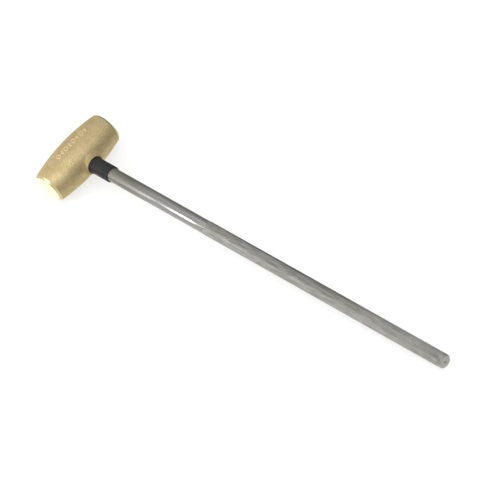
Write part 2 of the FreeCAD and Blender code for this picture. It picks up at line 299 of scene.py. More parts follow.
def combine(piece, other, operation):
    """Join another piece to this one, or cut it away, and discard it."""
    modifier = piece.modifiers.new("combine", "BOOLEAN")
    modifier.object = other
    modifier.operation = operation
    modifier.solver = "EXACT"
    settle(piece)
    discard(other)
    weld(piece)


def round_corners(outline, radii, steps=5):
    """Replace named corners of an outline with arcs of the radii given for them."""
    rounded = []
    for index, corner in enumerate(outline):
        if index not in radii:
            rounded.append(corner)
            continue
        before = Vector(outline[index - 1]) - Vector(corner)
        after = Vector(outline[(index + 1) % len(outline)]) - Vector(corner)
        half = before.angle(after) / 2
        reach = radii[index] / math.tan(half)
        start = Vector(corner) + before.normalized() * reach
        end = Vector(corner) + after.normalized() * reach
        middle = Vector(corner) + (before.normalized() + after.normalized()).normalized() * (
            radii[index] / math.sin(half))
        for step in range(steps + 1):
            spoke = (start - middle).slerp(end - middle, step / steps)
            rounded.append(tuple(middle + spoke.normalized() * radii[index]))
    return rounded


def finish_piece(piece, sharp_angle, across=0.0):
    """Lay a piece down in the frame, with its edges sharp past an angle, riding on the one body."""
    piece.data.transform(LAID_DOWN @ Matrix.Translation((0, across, 0)))
    piece.data.shade_smooth()
    piece.data.set_sharp_from_angle(angle=math.radians(sharp_angle))
    piece.data.update()
    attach(piece, "root")


# ---------------- finishes

def new_finish(name):
    """A new material with nothing in its tree yet, and the function that adds nodes to it."""
    material = bpy.data.materials.new(name)
    material.use_nodes = True
    material.node_tree.nodes.clear()
    return material, partial(add_node, material.node_tree)


def start_finish(name, across=0.0):
    """A new material, its adder, and a point's place in millimetres in the hammer's axes."""
    material, add = new_finish(name)
    origin, turn, _ = PICKED_UP.decompose()
    place = add("ShaderNodeMapping", {
        "Vector": add("ShaderNodeTexCoord").outputs["Object"], "Location": origin - Vector((0, across, 0)),
        "Rotation": turn.to_euler(), "Scale": (1 / MM, 1 / MM, 1 / MM),
    })
    return material, add, place


def scaled(tint, factors):
    """A tint with each of its colours multiplied."""
    return [part * factor for part, factor in zip(tint, factors)] + [1.0]


def blast_cast_brass(tint):
    """Leaded yellow brass, sand-cast and shot-blasted.

    The shot leaves an even, matt, sparkling grain over a dull tarnish in broad patches. The tops of the cast
    marks are painted brighter, partly handling wear and partly a painted highlight; their slopes, and the
    boss on the bar's side, are painted darker and less metallic, partly soiling and partly painted shade.
    """
    material, add, place = start_finish("cast_brass")
    patches = add(NOISE, {"Vector": place, "Scale": 1 / 16, "Detail": 5.0, "Roughness": 0.7})
    patchy = add(MAP_RANGE, (patches, 0.36, 0.64))
    # The shot's dimples are 0.3 mm; they are drawn three and six times as coarse so that they show
    fine = add(NOISE, {"Vector": place, "Scale": 1 / 0.9, "Detail": 2.0, "Roughness": 0.6})
    coarse = add(NOISE, {"Vector": place, "Scale": 1 / 1.9, "Detail": 2.0, "Roughness": 0.6})
    grain = add(MATH, (fine, coarse), "ADD")
    speckle = add(MAP_RANGE, (grain, 0.72, 1.28))
    clean, tarnished = scaled(tint, (1.04, 1.04, 1.04)), scaled(tint, (0.90, 0.87, 0.78))
    skin_tone = add(MIX, (patchy, clean, tarnished), **COLOUR)
    grainy = add(MIX, (speckle, (0.76, 0.75, 0.72, 1), (1.12, 1.12, 1.12, 1)), **COLOUR)
    speckled = add(MIX, (1.0, skin_tone, grainy), **COLOUR, blend_type="MULTIPLY")
    # The tops of the cast marks are painted brighter: partly handling wear, partly a painted highlight
    crest = add("ShaderNodeAttribute", attribute_name="crest")
    bright = add(MIX, (crest.outputs["Fac"], speckled, scaled(tint, (1.14, 1.16, 1.22))), **COLOUR)
    # The marks' slopes are painted darker and less metallic: partly soiling, partly painted shade
    recess = add("ShaderNodeAttribute", attribute_name="recess")
    # Partly soiling and partly painted shade round the boss on the bar's side, where the sleeve meets the
    # casting
    round_eye = add(VECTOR_MATH, (place, (0, EYE_OFFSET, 0)), "SUBTRACT")
    round_eye = add(VECTOR_MATH, (round_eye, (0, 1, 1)), "MULTIPLY")
    from_eye = add(VECTOR_MATH, (round_eye,), "LENGTH")
    grime_and_shade = add(MAP_RANGE, (from_eye, BOSS_RADIUS, BOSS_RADIUS + 7, 0.65, 0.0), **SOFT)
    bar_side = add(AXES, (place,)).outputs["X"]
    facing = add(MATH, (bar_side, 0.0), "GREATER_THAN")
    grime_and_shade = add(MATH, (grime_and_shade, facing), "MULTIPLY")
    dirt_and_shade = add(MATH, (recess.outputs["Fac"], grime_and_shade), "MAXIMUM")
    dirty_and_shaded = add(MIX, (dirt_and_shade, bright, scaled(tint, (0.26, 0.22, 0.16))), **COLOUR)
    metal_share = add(MATH, (1.0, dirt_and_shade), "SUBTRACT")
    rough = add(MAP_RANGE, (patches, 0.0, 1.0, 0.44, 0.60))
    bump = add(BUMP, {"Height": grain, "Strength": 0.6, "Distance": 0.4 * MM})
    shader = add(SHADER, {"Base Color": dirty_and_shaded, "Metallic": metal_share, "Roughness": rough, "Normal": bump})
    add(OUTPUT, {"Surface": shader})
    return material


def add_tool_rings(add, reach, wobble, feed):
    """Nodes for the fine rings that a lathe tool leaves: a height from 0 to 1 across each ring."""
    shifted = add(MATH, (reach, wobble), "ADD")
    turns = add(MATH, (shifted, FULL_TURN / feed), "MULTIPLY")
    return add(MATH, (turns,), "SINE")


def face_off(name, tint, roughness, axis, across=0.0, dents=0.0):
    """Bare metal faced and chamfered in a lathe.

    The tool leaves close bright rings about the axis, brighter than any other surface of the piece,
    with faint chatter round them. The real feed is 0.2 mm a turn; the rings are drawn 1.4 mm apart.
    dents is the depth in metres of the shallow dents that blows leave in a soft face.
    """
    material, add, place = start_finish(name, across)
    flat = add(VECTOR_MATH, (place, axis), "MULTIPLY")
    reach = add(VECTOR_MATH, (flat,), "LENGTH")
    wear = add(NOISE, {"Vector": place, "Scale": 1 / 9, "Detail": 3.0})
    rings = add_tool_rings(add, reach, wear, 1.4)
    dented = add(BUMP, {"Height": wear, "Distance": dents})
    bump = add(BUMP, {"Height": rings, "Strength": 0.25, "Distance": 0.03 * MM, "Normal": dented})
    rough = add(MAP_RANGE, (wear, 0.3, 0.7, roughness * 0.7, roughness * 1.5))
    shader = add(SHADER, {"Base Color": tint, "Metallic": 1.0, "Roughness": rough, "Normal": bump})
    add(OUTPUT, {"Surface": shader})
    return material


def draw_aluminium(tint):
    """Bright drawn aluminium bar.

    Pulled through a die, so it is smooth round its girth with hairlines along its length, and a little
    handling haze. Next to the sleeve, which was pushed on along it, it is rougher from scuffing and painted
    darker, a painted shade. Hairlines are 0.05 mm apart; they are drawn twenty-four times as far apart.
    """
    material, add, place = start_finish("drawn_aluminium", EYE_OFFSET)
    stretch = add(VECTOR_MATH, (place, (1 / 60, 1.0, 1.0)), "MULTIPLY")
    lines = add(NOISE, {"Vector": stretch, "Scale": 1 / 1.2, "Detail": 4.0})
    haze = add(NOISE, {"Vector": place, "Scale": 1 / 30, "Detail": 2.0})
    tone = add(MAP_RANGE, (lines, 0.3, 0.7))
    lined = add(MIX, (tone, scaled(tint, (0.70, 0.70, 0.70)), scaled(tint, (1.20, 1.20, 1.20))), **COLOUR)
    rough = add(MAP_RANGE, (haze, 0.0, 1.0, 0.10, 0.20))
    along = add(AXES, (place,)).outputs["X"]
    # Next to the sleeve: rougher from scuffing, and painted darker as a painted shade
    scuffs_and_shade = add(MAP_RANGE, (along, COLLAR_END + 50, COLLAR_END + 120, 1.0, 0.0), **SOFT)
    dulled_and_shaded = add(MIX, (scuffs_and_shade, (1, 1, 1, 1), (0.74, 0.72, 0.68, 1)), **COLOUR)
    colour = add(MIX, (1.0, lined, dulled_and_shaded), **COLOUR, blend_type="MULTIPLY")
    scuffed = add(MATH, (scuffs_and_shade, 0.34, rough), "MULTIPLY_ADD")
    bump = add(BUMP, {"Height": lines, "Strength": 0.3, "Distance": 0.01 * MM})
    shader = add(SHADER, {"Base Color": colour, "Metallic": 1.0, "Roughness": scuffed, "Normal": bump})
    add(OUTPUT, {"Surface": shader})
    return material


def knurl_aluminium(tint):
    """Drawn aluminium bar, diamond-knurled by two crossed rollers.

    The rollers leave each diamond's flat top bright and its grooves rough and dull. The grooves are painted
    dark, partly soiling and partly painted shade, more so in long streaks that hands have worn clean less.
    """
    material, add, place = start_finish("knurled_aluminium", EYE_OFFSET)
    groove = add("ShaderNodeAttribute", attribute_name="groove")
    stretch = add(VECTOR_MATH, (place, (1 / 6, 1.0, 1.0)), "MULTIPLY")
    wear = add(NOISE, {"Vector": stretch, "Scale": 1 / 4, "Detail": 4.0, "Roughness": 0.6})
    worn = add(MAP_RANGE, (wear, 0.36, 0.64, 0.25))
    # Grooves painted dark: partly soiling, partly painted shade in them
    grime_and_shade = add(MATH, (groove.outputs["Fac"], worn), "MULTIPLY")
    colour = add(MIX, (grime_and_shade, scaled(tint, (1.25, 1.24, 1.22)), scaled(tint, (0.33, 0.32, 0.30))), **COLOUR)
    rough = add(MAP_RANGE, (grime_and_shade, 0.0, 1.0, 0.36, 0.55))
    shader = add(SHADER, {"Base Color": colour, "Metallic": 1.0, "Roughness": rough})
    add(OUTPUT, {"Surface": shader})
    return material


def mould_rubber(tint):
    """Black nitrile rubber, compression-moulded.

    Satin with a very fine even tooth from the mould, and paler where talc and dust settle.
    """
    material, add, place = start_finish("moulded_rubber", EYE_OFFSET)
    dust = add(NOISE, {"Vector": place, "Scale": 1 / 7, "Detail": 4.0, "Roughness": 0.6})
    dusty = add(MAP_RANGE, (dust, 0.4, 0.75))
    colour = add(MIX, (dusty, tint, scaled(tint, (1.5, 1.45, 1.5))), **COLOUR)
    rough = add(MAP_RANGE, (dust, 0.0, 1.0, 0.38, 0.60))
    # The mould's tooth is 0.1 mm; it is drawn at 0.5 mm so that it shows
    tooth = add(NOISE, {"Vector": place, "Scale": 1 / 0.5, "Detail": 2.0})
    bump = add(BUMP, {"Height": tooth, "Strength": 0.25, "Distance": 0.05 * MM})
    shader = add(SHADER, {"Base Color": colour, "Roughness": rough, "Normal": bump, "IOR": 1.52})
    add(OUTPUT, {"Surface": shader})
    return material


def oil_spring_steel(tint):
    """Spring steel strip, rolled into a pin, hardened and oiled: dark brown-grey with a low sheen."""
    material, add, place = start_finish("oiled_spring_steel", EYE_OFFSET)
    scale = add(NOISE, {"Vector": place, "Scale": 1 / 1.5, "Detail": 3.0})
    tone = add(MAP_RANGE, (scale, 0.35, 0.65))
    colour = add(MIX, (tone, scaled(tint, (0.7, 0.68, 0.66)), tint), **COLOUR)
    rough = add(MAP_RANGE, (scale, 0.0, 1.0, 0.25, 0.5))
    shader = add(SHADER, {"Base Color": colour, "Metallic": 1.0, "Roughness": rough})
    add(OUTPUT, {"Surface": shader})
    return material


# ---------------- the head

def barrel_radius(place):
    """The barrel's radius at a place along the striking axis."""
    return CROWN_RADIUS - CROWN_ARC + math.sqrt(CROWN_ARC ** 2 - place ** 2)


def head_angles():
    """Angles round the barrel from the bar's side, closer together where the marks and the boss are."""
    fine = np.arange(math.radians(15.3), math.radians(112), SKIN_STEP / CROWN_RADIUS)
    coarse = np.linspace(fine[-1], fine[0] + FULL_TURN, 160)[1:-1]
    return np.concatenate([fine, coarse])


def head_outline():
    """(place, radius, cast) for each ring of the head, from one face's middle to the other's."""
    side = np.linspace(0, HALF_BARREL, 128)
    half = [(place, barrel_radius(place), 1.0) for place in side]
    half[-1] = (HALF_BARREL, EDGE_RADIUS, 0.0)
    flat = EDGE_RADIUS - FACE_BEVEL
    for share in (0.25, 0.5, 0.75):
        half.append((HALF_BARREL + share * FACE_BEVEL, EDGE_RADIUS - share * FACE_BEVEL, 0.0))
    edge = round_corners([(HALF_BARREL, EDGE_RADIUS), (HALF_LENGTH, flat), (HALF_LENGTH, 0)],
                         {1: FACE_ROUND}, 3)
    half.extend((place, radius, 0.0) for place, radius in edge[1:-1])
    half.extend((HALF_LENGTH, flat * share, 0.0) for share in (0.85, 0.6, 0.3, 0.0))
    return [(-place, radius, cast) for place, radius, cast in reversed(half[1:])] + half


def make_barrel():
    """The plain barrel with its bevels and faces, and how much of the cast skin is at each point."""
    angles = head_angles()
    rings, cast = [], []
    for place, radius, skin_share in head_outline():
        if radius < 1e-6:
            rings.append([(0.0, place, 0.0)])
        else:
            rings.append([(radius * math.cos(angle), place, radius * math.sin(angle)) for angle in angles])
        cast.extend([skin_share] * len(rings[-1]))
    piece = new_piece("head_casting", *skin(rings))
    attribute = piece.data.attributes.new("cast", "FLOAT", "POINT")
    attribute.data.foreach_set("value", cast)
    return piece


def add_ring_relief(add, across, along, outer, inner, edge):
    """Nodes for one raised ring: 1 on the ring and 0 off it, with edges as wide as edge."""
    flat = add("ShaderNodeCombineXYZ", {"X": across, "Y": along})
    reach = add(VECTOR_MATH, (flat,), "LENGTH")
    foot = add(MATH, (outer, edge), "ADD")
    outside = add(MAP_RANGE, (reach, outer, foot, 1.0, 0.0), **SOFT)
    floor = add(MATH, (inner, edge), "SUBTRACT")
    inside = add(MAP_RANGE, (reach, floor, inner), **SOFT)
    return add(MATH, (outside, inside), "MULTIPLY")


def add_lozenge_relief(add, across, along, size):
    """Nodes for one raised lozenge: 1 on it and 0 off it."""
    high = add(MATH, (across,), "ABSOLUTE")
    high = add(MATH, (high, size["Lozenge Height"]), "DIVIDE")
    wide = add(MATH, (along,), "ABSOLUTE")
    wide = add(MATH, (wide, size["Lozenge Width"]), "DIVIDE")
    total = add(MATH, (high, wide), "ADD")
    slope = add(MATH, (size["Edge"], size["Lozenge Width"]), "DIVIDE")
    foot = add(MATH, (slope, 0.5), "ADD")
    return add(MAP_RANGE, (total, 0.5, foot, 1.0, 0.0), **SOFT)


def add_nearest_place(add, place, first, pitch):
    """Nodes for the distance along a row to the nearest of its evenly spaced marks."""
    along = add(MATH, (place, first), "SUBTRACT")
    half = add(MATH, (pitch, 0.5), "MULTIPLY")
    behind = add(MATH, (pitch, -0.5), "MULTIPLY")
    return add(MATH, (along, half, behind), "WRAP")


def add_row_limits(add, place, first, last):
    """Nodes that give 1 between two places along a row and 0 outside them."""
    past = add(MATH, (place, first), "GREATER_THAN")
    short = add(MATH, (place, last), "LESS_THAN")
    return add(MATH, (past, short), "MULTIPLY")


def casting_tree():
    """Tree that raises the cast marks on the barrel and roughens its skin."""
    tree, add, size = start_shape_tree("cast_marks_and_skin", (
        "Rise", "Pitch", "First Ring", "Row Start", "Row End", "Ring Radius", "Ring Hole", "Lozenge Height",
        "Lozenge Width", "Side Place", "Side Angle", "Side Radius", "Side Hole", "Edge", "Skin Relief"))
    place = add("GeometryNodeInputPosition")
    axes = add(AXES, (place,)).outputs

    half = add(MATH, (size["Pitch"], 0.5), "MULTIPLY")
    first_lozenge = add(MATH, (size["First Ring"], half), "ADD")
    at_ring = add_nearest_place(add, axes["Y"], size["First Ring"], size["Pitch"])
    at_lozenge = add_nearest_place(add, axes["Y"], first_lozenge, size["Pitch"])
    ring = add_ring_relief(add, axes["X"], at_ring, size["Ring Radius"], size["Ring Hole"], size["Edge"])
    lozenge = add_lozenge_relief(add, axes["X"], at_lozenge, size)
    row = add(MATH, (ring, lozenge), "MAXIMUM")
    within = add_row_limits(add, axes["Y"], size["Row Start"], size["Row End"])
    upper = add(MATH, (axes["Z"], 0.0), "GREATER_THAN")
    within = add(MATH, (within, upper), "MULTIPLY")
    row = add(MATH, (row, within), "MULTIPLY")

    unturn = add(MATH, (size["Side Angle"], -1.0), "MULTIPLY")
    turned_place = add("ShaderNodeVectorRotate", {"Vector": place, "Angle": unturn}, rotation_type="Y_AXIS")
    side_axes = add(AXES, (turned_place,)).outputs
    beside = add(MATH, (side_axes["Y"], size["Side Place"]), "SUBTRACT")
    side = add_ring_relief(add, side_axes["X"], beside, size["Side Radius"], size["Side Hole"], size["Edge"])
    facing = add(MATH, (side_axes["Z"], 0.0), "GREATER_THAN")
    side = add(MATH, (side, facing), "MULTIPLY")
    relief = add(MATH, (row, side), "MAXIMUM")

    grain = add(NOISE, {"Vector": place, "Scale": 0.55, "Detail": 3.0, "Roughness": 0.65})
    cast = add("GeometryNodeInputNamedAttribute", {"Name": "cast"})
    depth = add(MATH, (grain, size["Skin Relief"]), "MULTIPLY")
    depth = add(MATH, (depth, cast.outputs["Attribute"]), "MULTIPLY")
    rise = add(MATH, (relief, size["Rise"]), "MULTIPLY")
    height = add(MATH, (rise, depth), "SUBTRACT")
    outward = add(VECTOR_MATH, (place, (1, 0, 1)), "MULTIPLY")
    outward = add(VECTOR_MATH, (outward,), "NORMALIZE")
    offset = add(VECTOR_MATH, (outward, height), "SCALE")

    # The marks' slopes get a mask for soiling and painted shade
    slope = add(MATH, (1.0, relief), "SUBTRACT")
    slope = add(MATH, (slope, relief), "MULTIPLY")
    recess = add(MATH, (slope, 4.0), "MULTIPLY")
    marked = add("GeometryNodeStoreNamedAttribute", {
        "Geometry": size["Shape"], "Name": "recess", "Value": recess})
    # The marks' tops get a mask for handling wear and a painted highlight
    crested = add("GeometryNodeStoreNamedAttribute", {"Geometry": marked, "Name": "crest", "Value": relief})
    raised = add("GeometryNodeSetPosition", {"Geometry": crested, "Offset": offset})
    end_shape_tree(add, raised, size["Finish"])
    return tree


def boss_outline():
    """The boss round the eye, from a pole inside the barrel out over its hollow flank to its seat."""
    flank = (SEAT ** 2 + BOSS_RADIUS ** 2 - BOSS_DEPTH ** 2) / (2 * (BOSS_DEPTH - BOSS_RADIUS))
    reach = BOSS_RADIUS + flank
    start = math.atan2(SEAT - SEAT * BOSS_DEPTH / (BOSS_DEPTH + flank),
                       reach - reach * BOSS_DEPTH / (BOSS_DEPTH + flank))
    outline = [(0.0, 0.0)]
    for angle in np.linspace(start, 0.06, 14):
        outline.append((SEAT - flank * math.sin(angle), reach - flank * math.cos(angle)))
    corner = BOSS_CORNER
    for angle in np.linspace(0, math.pi / 2, 5):
        outline.append((SEAT - corner + corner * math.sin(angle),
                        BOSS_RADIUS - corner + corner * math.cos(angle)))
    outline += [(SEAT, FOOT_RADIUS), (SEAT, EYE_RADIUS + EYE_CHAMFER + 1.0), (SEAT, 0.0)]
    return outline


def eye_outline():
    """What the drill, the reamer and the countersink take out of the boss."""
    bottom = SPIGOT_END - EYE_GAP
    tip = bottom - EYE_RADIUS / math.tan(DRILL_POINT)
    over = 2.0
    return [(tip, 0.0), (bottom, EYE_RADIUS), (SEAT - EYE_CHAMFER, EYE_RADIUS),
            (SEAT, EYE_RADIUS + EYE_CHAMFER), (SEAT + over, EYE_RADIUS + EYE_CHAMFER + over),
            (SEAT + over, 0.0)]


def pin_drill(across):
    """A drill for the pin hole, up from under the head, in the hammer's axes."""
    drill = turned("pin_drill", [(-CROWN_RADIUS - 2, 0.0), (-CROWN_RADIUS - 2, PIN_HOLE),
                                 (PIN_HOLE_TOP, PIN_HOLE), (PIN_HOLE_TOP, 0.0)], DRILL_SIDES)
    # The X axis turns up to Z
    drill.data.transform(Matrix.Translation((PIN_PLACE, across, 0)) @ Matrix.Rotation(-math.pi / 2, 4, "Y"))
    return drill


def finish_by_place(piece, finishes, choose):
    """Give each face the finish that choose picks by its middle, in the hammer's axes."""
    mesh = piece.data
    mesh.materials.clear()
    for finish in finishes:
        mesh.materials.append(finish)
    mesh.polygons.foreach_set("material_index", [choose(face.center) for face in mesh.polygons])


def machined_head_face(middle):
    """1 for the head's turned bevels and faces, the boss's seat and the drilled holes; 0 for its skin."""
    if abs(middle.y) > HALF_BARREL:
        return 1
    from_eye = math.hypot(middle.y - EYE_OFFSET, middle.z)
    if from_eye < FOOT_RADIUS and (middle.x > SEAT - 0.01 or from_eye < EYE_RADIUS + EYE_CHAMFER + 0.1
                                   and middle.x > SPIGOT_END - 9):
        return 1
    from_pin = math.hypot(middle.y - EYE_OFFSET, middle.x - PIN_PLACE)
    return 1 if from_pin < PIN_HOLE + 0.01 and middle.z < PIN_HOLE_TOP + 0.01 else 0


def make_head(sizes, finishes):
    """The casting: barrel, raised marks and skin, boss, then the holes and the machined faces."""
    cast = blast_cast_brass(finishes.brass)
    bright = face_off("turned_brass", scaled(finishes.brass, (1.10, 1.18, 1.14)), 0.24, (1, 0, 1),
                      dents=1.2 * MM)
    piece = make_barrel()
    run_shape_tree(piece, casting_tree(), {
        "Rise": sizes.mark_rise / MM, "Pitch": MARK_PITCH, "First Ring": FIRST_RING,
        "Row Start": FIRST_RING - ROW_MARGIN, "Row End": FIRST_RING + MARK_PITCH * MARK_PAIRS - ROW_MARGIN,
        "Ring Radius": 4.4, "Ring Hole": 2.4, "Lozenge Height": 9.0, "Lozenge Width": 6.0,
        "Side Place": -20.0, "Side Angle": math.radians(34), "Side Radius": 3.2, "Side Hole": 1.5,
        "Edge": 0.55, "Skin Relief": sizes.skin_relief / MM, "Finish": cast})
    for name, outline, operation in (("boss", boss_outline(), "UNION"), ("eye", eye_outline(), "DIFFERENCE")):
        tool = turned(name, outline, BOSS_SIDES)
        tool.data.transform(Matrix.Translation((0, EYE_OFFSET, 0)))
        combine(piece, tool, operation)
    combine(piece, pin_drill(EYE_OFFSET), "DIFFERENCE")
    finish_by_place(piece, [cast, bright], machined_head_face)
    finish_piece(piece, 35)
    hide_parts("head")


# ---------------- the bar

def knurl_tile(width, length, depth, flat):
    """One cell of the knurl: a diamond with its grooves, and a quarter of each of its four neighbours.

    flat is the share of the diamond that its level top keeps.
    """
    half_x, half_y = length / 2, width / 2
    top_x, top_y = half_x * flat, half_y * flat
    low = -depth
    points = [(top_x, 0, 0), (0, top_y, 0), (-top_x, 0, 0), (0, -top_y, 0),
              (half_x, 0, low), (0, half_y, low), (-half_x, 0, low), (0, -half_y, low)]
    faces = [(0, 1, 2, 3)]
    for side in range(4):
        after = (side + 1) % 4
        faces.append((side, 4 + side, 4 + after, after))
    signs = [(1, 1), (-1, 1), (-1, -1), (1, -1)]
    for side, (sign_x, sign_y) in enumerate(signs):
        corner = len(points)
        on_x = (sign_x * (half_x - top_x), sign_y * half_y, 0)
        on_y = (sign_x * half_x, sign_y * (half_y - top_y), 0)
        points.extend([(sign_x * half_x, sign_y * half_y, 0), on_x, on_y])
        after = 4 + (side + 1) % 4
        # Each quarter meets this diamond's groove, which runs from one edge's middle to the next's
        if sign_x * sign_y > 0:
            faces.append((4 + side, corner + 2, corner + 1, after))
            faces.append((corner, corner + 1, corner + 2))
        else:
            faces.append((4 + side, corner + 1, corner + 2, after))
            faces.append((corner, corner + 2, corner + 1))
    return new_piece("knurl_tile", points, faces)


def knurl_tree():
    """Tree that lays rows of knurl tiles flat and wraps them round the bar."""
    tree, add, size = start_shape_tree(
        "diamond_knurl", ("Start", "Length", "Cell Length", "Cell Width", "Crest Radius", "Depth"),
        {"Tile": "Object", "Cells Along": "Int", "Cells Around": "Int"})
    span_x = add(MATH, (size["Length"], size["Cell Length"]), "SUBTRACT")
    gaps = add(MATH, (size["Cells Around"], 1.0), "SUBTRACT")
    span_y = add(MATH, (gaps, size["Cell Width"]), "MULTIPLY")
    grid = add("GeometryNodeMeshGrid", {
        "Size X": span_x, "Size Y": span_y,
        "Vertices X": size["Cells Along"], "Vertices Y": size["Cells Around"]})
    tile = add("GeometryNodeObjectInfo", {"Object": size["Tile"]})
    laid = add("GeometryNodeInstanceOnPoints", {"Points": grid, "Instance": tile.outputs["Geometry"]})
    sheet = add("GeometryNodeRealizeInstances", {"Geometry": laid})

    place = add("GeometryNodeInputPosition")
    axes = add(AXES, (place,)).outputs
    depth = add(MATH, (size["Depth"], -1.0), "MULTIPLY")
    groove = add(MATH, (axes["Z"], depth), "DIVIDE")
    grooved = add("GeometryNodeStoreNamedAttribute", {"Geometry": sheet, "Name": "groove", "Value": groove})

    half = add(MATH, (size["Length"], 0.5), "MULTIPLY")
    middle = add(MATH, (size["Start"], half), "ADD")
    along = add(MATH, (axes["X"], middle), "ADD")
    angle = add(MATH, (axes["Y"], size["Crest Radius"]), "DIVIDE")
    radius = add(MATH, (size["Crest Radius"], axes["Z"]), "ADD")
    sine = add(MATH, (angle,), "SINE")
    cosine = add(MATH, (angle,), "COSINE")
    wrapped = add("ShaderNodeCombineXYZ", {
        "X": along,
        "Y": add(MATH, (radius, sine), "MULTIPLY"),
        "Z": add(MATH, (radius, cosine), "MULTIPLY")})
    rolled = add("GeometryNodeSetPosition", {"Geometry": grooved, "Position": wrapped})
    sewn = add("GeometryNodeMergeByDistance", {"Geometry": rolled, "Distance": 0.02})
    end_shape_tree(add, sewn, size["Finish"])
    return tree


def end_loop(work, place):
    """The knurl's end vertices at one place along the bar, in order round it."""
    loop = [vertex for vertex in work.verts if abs(vertex.co.x - place) < 0.01]
    return sorted(loop, key=lambda vertex: math.atan2(vertex.co.y, vertex.co.z) % FULL_TURN)


def carry_on(work, loop, outline, forwards):
    """Carry the bar on from the knurl's end loop along an outline to its pole."""
    angles = [math.atan2(vertex.co.y, vertex.co.z) for vertex in loop]
    count = len(loop)
    ring = loop
    for place, radius in outline:
        points = circle(place, radius, angles)
        following = [work.verts.new(point) for point in points]
        for here in range(count):
            after = (here + 1) % count
            corners = list(dict.fromkeys([ring[here], following[here % len(following)],
                                          following[after % len(following)], ring[after]]))
            work.faces.new(corners if forwards else corners[::-1])
        ring = following


def bar_outlines():
    """The bar from the grip to the spigot's end, and from the grip to the free end."""
    neck = np.linspace(GRIP_START - GRIP_BEVEL, SEAT + 0.3, 9)
    towards_head = [(place, BAR_RADIUS) for place in neck]
    towards_head += [(SEAT, BAR_RADIUS - 0.3), (SEAT, SPIGOT_RADIUS)]
    towards_head += [(SPIGOT_END + SPIGOT_CHAMFER, SPIGOT_RADIUS),
                     (SPIGOT_END, SPIGOT_RADIUS - SPIGOT_CHAMFER), (SPIGOT_END, 0.0)]
    end = BAR_RADIUS - END_CHAMFER
    corners = [(GRIP_END + GRIP_BEVEL, BAR_RADIUS), (BAR_END - END_CHAMFER, BAR_RADIUS), (BAR_END, end),
               (BAR_END, CENTRE_HOLE), (BAR_END - CENTRE_HOLE, 0.0)]
    outward = round_corners(corners, {1: 0.2, 2: 0.2, 3: 0.15}, 3)
    return towards_head, outward


def finish_bar_face(middle):
    """0 for the smooth bar, 1 for the knurl, 2 for the faced end."""
    if GRIP_START - 0.6 < middle.x < GRIP_END + 0.6:
        return 1
    return 2 if middle.x > BAR_END - END_CHAMFER else 0


def make_bar(sizes, finishes):
    """The aluminium bar: knurled grip, smooth neck, spigot, and the turned free end."""
    knurled = knurl_aluminium(finishes.aluminium)
    drawn = draw_aluminium(finishes.aluminium)
    faced = face_off("faced_aluminium", scaled(finishes.aluminium, (1.05, 1.05, 1.05)), 0.2, (0, 1, 1),
                     EYE_OFFSET)
    around = round(FULL_TURN * GRIP_RADIUS / (sizes.knurl_width / MM))
    width = FULL_TURN * GRIP_RADIUS / around
    along = round(GRIP_LENGTH / (width / math.tan(KNURL_LEAD)))
    length = GRIP_LENGTH / along
    depth = sizes.knurl_depth / MM
    tile = knurl_tile(width, length, depth, KNURL_TOP)
    piece = new_piece("handle_bar_knurled", [], [])
    run_shape_tree(piece, knurl_tree(), {
        "Tile": tile, "Start": GRIP_START, "Length": GRIP_LENGTH, "Cells Along": along,
        "Cells Around": around, "Cell Length": length, "Cell Width": width,
        "Crest Radius": GRIP_RADIUS, "Depth": depth, "Finish": knurled})
    discard(tile)

    work = bmesh.new()
    work.from_mesh(piece.data)
    towards_head, outward = bar_outlines()
    start, end = end_loop(work, GRIP_START), end_loop(work, GRIP_END)
    carry_on(work, start, towards_head, False)
    carry_on(work, end, outward, True)
    work.to_mesh(piece.data)
    work.free()
    combine(piece, pin_drill(0.0), "DIFFERENCE")
    finish_by_place(piece, [drawn, knurled, faced], finish_bar_face)
    finish_piece(piece, 25, EYE_OFFSET)
    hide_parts("handle_bar")


# ---------------- the collar and the pin

def collar_outline():
    """The sleeve's section as a closed loop: bore, foot flange, outside and rounded lip."""
    foot = SEAT + FOOT_THICKNESS
    corners = [(COLLAR_END, SLEEVE_BORE), (SEAT, SLEEVE_BORE), (SEAT, FOOT_RADIUS), (foot, FOOT_RADIUS),
               (foot, SLEEVE_RADIUS)]
    outline = round_corners(corners + [(foot + 6, SLEEVE_RADIUS)], {2: 0.25, 3: 0.35, 4: 0.6})[:-1]
    outline += [(place, SLEEVE_RADIUS) for place in np.arange(foot + 3, COLLAR_END - 15, 3)]
    outline += [(place, SLEEVE_RADIUS) for place in np.arange(COLLAR_END - 14.5, COLLAR_END - 1, 0.15)]
    lip = round_corners([(COLLAR_END - 2, SLEEVE_RADIUS), (COLLAR_END, SLEEVE_RADIUS),
                         (COLLAR_END, SLEEVE_BORE)], {1: 0.6})
    return outline + lip[1:-1]


